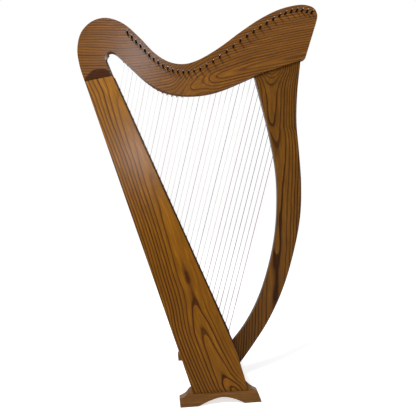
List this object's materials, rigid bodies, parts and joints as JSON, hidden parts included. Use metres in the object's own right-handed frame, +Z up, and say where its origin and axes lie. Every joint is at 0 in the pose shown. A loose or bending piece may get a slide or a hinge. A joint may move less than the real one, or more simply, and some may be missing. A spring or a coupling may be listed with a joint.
{
  "type": "lever harp",
  "caption": "Floor-standing lever harp with a flared wooden soundbox on two feet, an S-curved neck, a bowed pillar, nylon strings, tuning pins and a turning sharping lever for each string.",
  "frame": {"origin": "on the floor, midway along and midway across the whole harp", "axes": "+X from the soundbox towards the pillar, +Y away from the side that the tuning keys turn on, +Z up"},
  "size_m": [0.784, 0.376, 1.2329],
  "materials": {
    "ash_panel": "oiled ash with bold dark grain, glossy",
    "soundboard_wood": "straight-grained, satin varnish",
    "dark_wood": "dark edge binding, satin",
    "spruce": "bare planed spruce",
    "rib_wood": "satin varnish",
    "brass": "polished eyelets",
    "block_wood": "bare planed hardwood",
    "foot_wood": "glossy varnish, horizontal grain",
    "neck_wood": "glossy varnish, fine horizontal grain",
    "pillar_wood": "glossy varnish, grain along its length",
    "steel": "plated steel",
    "blued_steel": "blued steel with bright worn key ends",
    "red_string": "red nylon, wound in the lowest octaves",
    "blue_string": "blue-black nylon",
    "clear_string": "clear nylon",
    "lever_black": "satin black lever"
  },
  "bodies": {
    "harp": {"near_side_panel": "ash_panel", "far_side_panel": "ash_panel", "soundboard": "soundboard_wood", "soundboard_trims": "dark_wood", "back_panel": "ash_panel", "back_braces": "spruce", "corner_liners": "spruce", "inner_string_rib": "spruce", "outer_string_rib": "rib_wood", "string_eyelets": "brass", "top_block": "block_wood", "base_block": "block_wood", "base_board": "block_wood", "near_foot": "foot_wood", "far_foot": "foot_wood", "neck": "neck_wood", "shoulder_block": "neck_wood", "pillar": "pillar_wood", "pillar_bolt": "steel", "neck_dowels": "spruce", "tuning_pins": "blued_steel", "bridge_pins": "steel", "lever_plates": "steel", "c_strings": "red_string", "f_strings": "blue_string", "plain_strings": "clear_string"},
    "lever_01": {"lever_01": "lever_black"},
    "lever_02": {"lever_02": "lever_black"},
    "lever_03": {"lever_03": "lever_black"},
    "lever_04": {"lever_04": "lever_black"},
    "lever_05": {"lever_05": "lever_black"},
    "lever_06": {"lever_06": "lever_black"},
    "lever_07": {"lever_07": "lever_black"},
    "lever_08": {"lever_08": "lever_black"},
    "lever_09": {"lever_09": "lever_black"},
    "lever_10": {"lever_10": "lever_black"},
    "lever_11": {"lever_11": "lever_black"},
    "lever_12": {"lever_12": "lever_black"},
    "lever_13": {"lever_13": "lever_black"},
    "lever_14": {"lever_14": "lever_black"},
    "lever_15": {"lever_15": "lever_black"},
    "lever_16": {"lever_16": "lever_black"},
    "lever_17": {"lever_17": "lever_black"},
    "lever_18": {"lever_18": "lever_black"},
    "lever_19": {"lever_19": "lever_black"},
    "lever_20": {"lever_20": "lever_black"},
    "lever_21": {"lever_21": "lever_black"},
    "lever_22": {"lever_22": "lever_black"},
    "lever_23": {"lever_23": "lever_black"},
    "lever_24": {"lever_24": "lever_black"},
    "lever_25": {"lever_25": "lever_black"},
    "lever_26": {"lever_26": "lever_black"},
    "lever_27": {"lever_27": "lever_black"},
    "lever_28": {"lever_28": "lever_black"},
    "lever_29": {"lever_29": "lever_black"},
    "lever_30": {"lever_30": "lever_black"},
    "lever_31": {"lever_31": "lever_black"},
    "lever_32": {"lever_32": "lever_black"},
    "lever_33": {"lever_33": "lever_black"},
    "lever_34": {"lever_34": "lever_black"}
  },
  "joints": [
    {"name": "lever_01_turn", "type": "hinge", "parent": "harp", "child": "lever_01", "pos_m": [-0.25137, 0, 1.06523], "axis": [0, 1, 0], "range_deg": [0, 100]},
    {"name": "lever_02_turn", "type": "hinge", "parent": "harp", "child": "lever_02", "pos_m": [-0.23816, 0, 1.05319], "axis": [0, 1, 0], "range_deg": [0, 100]},
    {"name": "lever_03_turn", "type": "hinge", "parent": "harp", "child": "lever_03", "pos_m": [-0.22487, 0, 1.04097], "axis": [0, 1, 0], "range_deg": [0, 100]},
    {"name": "lever_04_turn", "type": "hinge", "parent": "harp", "child": "lever_04", "pos_m": [-0.21148, 0, 1.02868], "axis": [0, 1, 0], "range_deg": [0, 100]},
    {"name": "lever_05_turn", "type": "hinge", "parent": "harp", "child": "lever_05", "pos_m": [-0.19808, 0, 1.01601], "axis": [0, 1, 0], "range_deg": [0, 100]},
    {"name": "lever_06_turn", "type": "hinge", "parent": "harp", "child": "lever_06", "pos_m": [-0.1846, 0, 1.00326], "axis": [0, 1, 0], "range_deg": [0, 100]},
    {"name": "lever_07_turn", "type": "hinge", "parent": "harp", "child": "lever_07", "pos_m": [-0.17081, 0, 0.99148], "axis": [0, 1, 0], "range_deg": [0, 100]},
    {"name": "lever_08_turn", "type": "hinge", "parent": "harp", "child": "lever_08", "pos_m": [-0.15669, 0, 0.98079], "axis": [0, 1, 0], "range_deg": [0, 100]},
    {"name": "lever_09_turn", "type": "hinge", "parent": "harp", "child": "lever_09", "pos_m": [-0.14225, 0, 0.97108], "axis": [0, 1, 0], "range_deg": [0, 100]},
    {"name": "lever_10_turn", "type": "hinge", "parent": "harp", "child": "lever_10", "pos_m": [-0.12732, 0, 0.96308], "axis": [0, 1, 0], "range_deg": [0, 100]},
    {"name": "lever_11_turn", "type": "hinge", "parent": "harp", "child": "lever_11", "pos_m": [-0.11184, 0, 0.9569], "axis": [0, 1, 0], "range_deg": [0, 100]},
    {"name": "lever_12_turn", "type": "hinge", "parent": "harp", "child": "lever_12", "pos_m": [-0.09584, 0, 0.95242], "axis": [0, 1, 0], "range_deg": [0, 100]},
    {"name": "lever_13_turn", "type": "hinge", "parent": "harp", "child": "lever_13", "pos_m": [-0.07919, 0, 0.95009], "axis": [0, 1, 0], "range_deg": [0, 100]},
    {"name": "lever_14_turn", "type": "hinge", "parent": "harp", "child": "lever_14", "pos_m": [-0.06194, 0, 0.94974], "axis": [0, 1, 0], "range_deg": [0, 100]},
    {"name": "lever_15_turn", "type": "hinge", "parent": "harp", "child": "lever_15", "pos_m": [-0.04402, 0, 0.95154], "axis": [0, 1, 0], "range_deg": [0, 100]},
    {"name": "lever_16_turn", "type": "hinge", "parent": "harp", "child": "lever_16", "pos_m": [-0.02521, 0, 0.9563], "axis": [0, 1, 0], "range_deg": [0, 100]},
    {"name": "lever_17_turn", "type": "hinge", "parent": "harp", "child": "lever_17", "pos_m": [-0.00525, 0, 0.96503], "axis": [0, 1, 0], "range_deg": [0, 100]},
    {"name": "lever_18_turn", "type": "hinge", "parent": "harp", "child": "lever_18", "pos_m": [0.01568, 0, 0.97691], "axis": [0, 1, 0], "range_deg": [0, 100]},
    {"name": "lever_19_turn", "type": "hinge", "parent": "harp", "child": "lever_19", "pos_m": [0.03706, 0, 0.99004], "axis": [0, 1, 0], "range_deg": [0, 100]},
    {"name": "lever_20_turn", "type": "hinge", "parent": "harp", "child": "lever_20", "pos_m": [0.05892, 0, 1.00446], "axis": [0, 1, 0], "range_deg": [0, 100]},
    {"name": "lever_21_turn", "type": "hinge", "parent": "harp", "child": "lever_21", "pos_m": [0.08121, 0, 1.02014], "axis": [0, 1, 0], "range_deg": [0, 100]},
    {"name": "lever_22_turn", "type": "hinge", "parent": "harp", "child": "lever_22", "pos_m": [0.1034, 0, 1.03508], "axis": [0, 1, 0], "range_deg": [0, 100]},
    {"name": "lever_23_turn", "type": "hinge", "parent": "harp", "child": "lever_23", "pos_m": [0.12525, 0, 1.04859], "axis": [0, 1, 0], "range_deg": [0, 100]},
    {"name": "lever_24_turn", "type": "hinge", "parent": "harp", "child": "lever_24", "pos_m": [0.14693, 0, 1.06136], "axis": [0, 1, 0], "range_deg": [0, 100]},
    {"name": "lever_25_turn", "type": "hinge", "parent": "harp", "child": "lever_25", "pos_m": [0.16845, 0, 1.0735], "axis": [0, 1, 0], "range_deg": [0, 100]},
    {"name": "lever_26_turn", "type": "hinge", "parent": "harp", "child": "lever_26", "pos_m": [0.18995, 0, 1.08557], "axis": [0, 1, 0], "range_deg": [0, 100]},
    {"name": "lever_27_turn", "type": "hinge", "parent": "harp", "child": "lever_27", "pos_m": [0.21124, 0, 1.09701], "axis": [0, 1, 0], "range_deg": [0, 100]},
    {"name": "lever_28_turn", "type": "hinge", "parent": "harp", "child": "lever_28", "pos_m": [0.23187, 0, 1.10624], "axis": [0, 1, 0], "range_deg": [0, 100]},
    {"name": "lever_29_turn", "type": "hinge", "parent": "harp", "child": "lever_29", "pos_m": [0.25167, 0, 1.11281], "axis": [0, 1, 0], "range_deg": [0, 100]},
    {"name": "lever_30_turn", "type": "hinge", "parent": "harp", "child": "lever_30", "pos_m": [0.27075, 0, 1.11717], "axis": [0, 1, 0], "range_deg": [0, 100]},
    {"name": "lever_31_turn", "type": "hinge", "parent": "harp", "child": "lever_31", "pos_m": [0.28903, 0, 1.11913], "axis": [0, 1, 0], "range_deg": [0, 100]},
    {"name": "lever_32_turn", "type": "hinge", "parent": "harp", "child": "lever_32", "pos_m": [0.30624, 0, 1.11779], "axis": [0, 1, 0], "range_deg": [0, 100]},
    {"name": "lever_33_turn", "type": "hinge", "parent": "harp", "child": "lever_33", "pos_m": [0.32262, 0, 1.11404], "axis": [0, 1, 0], "range_deg": [0, 100]},
    {"name": "lever_34_turn", "type": "hinge", "parent": "harp", "child": "lever_34", "pos_m": [0.33884, 0, 1.11029], "axis": [0, 1, 0], "range_deg": [0, 100]}
  ]
}
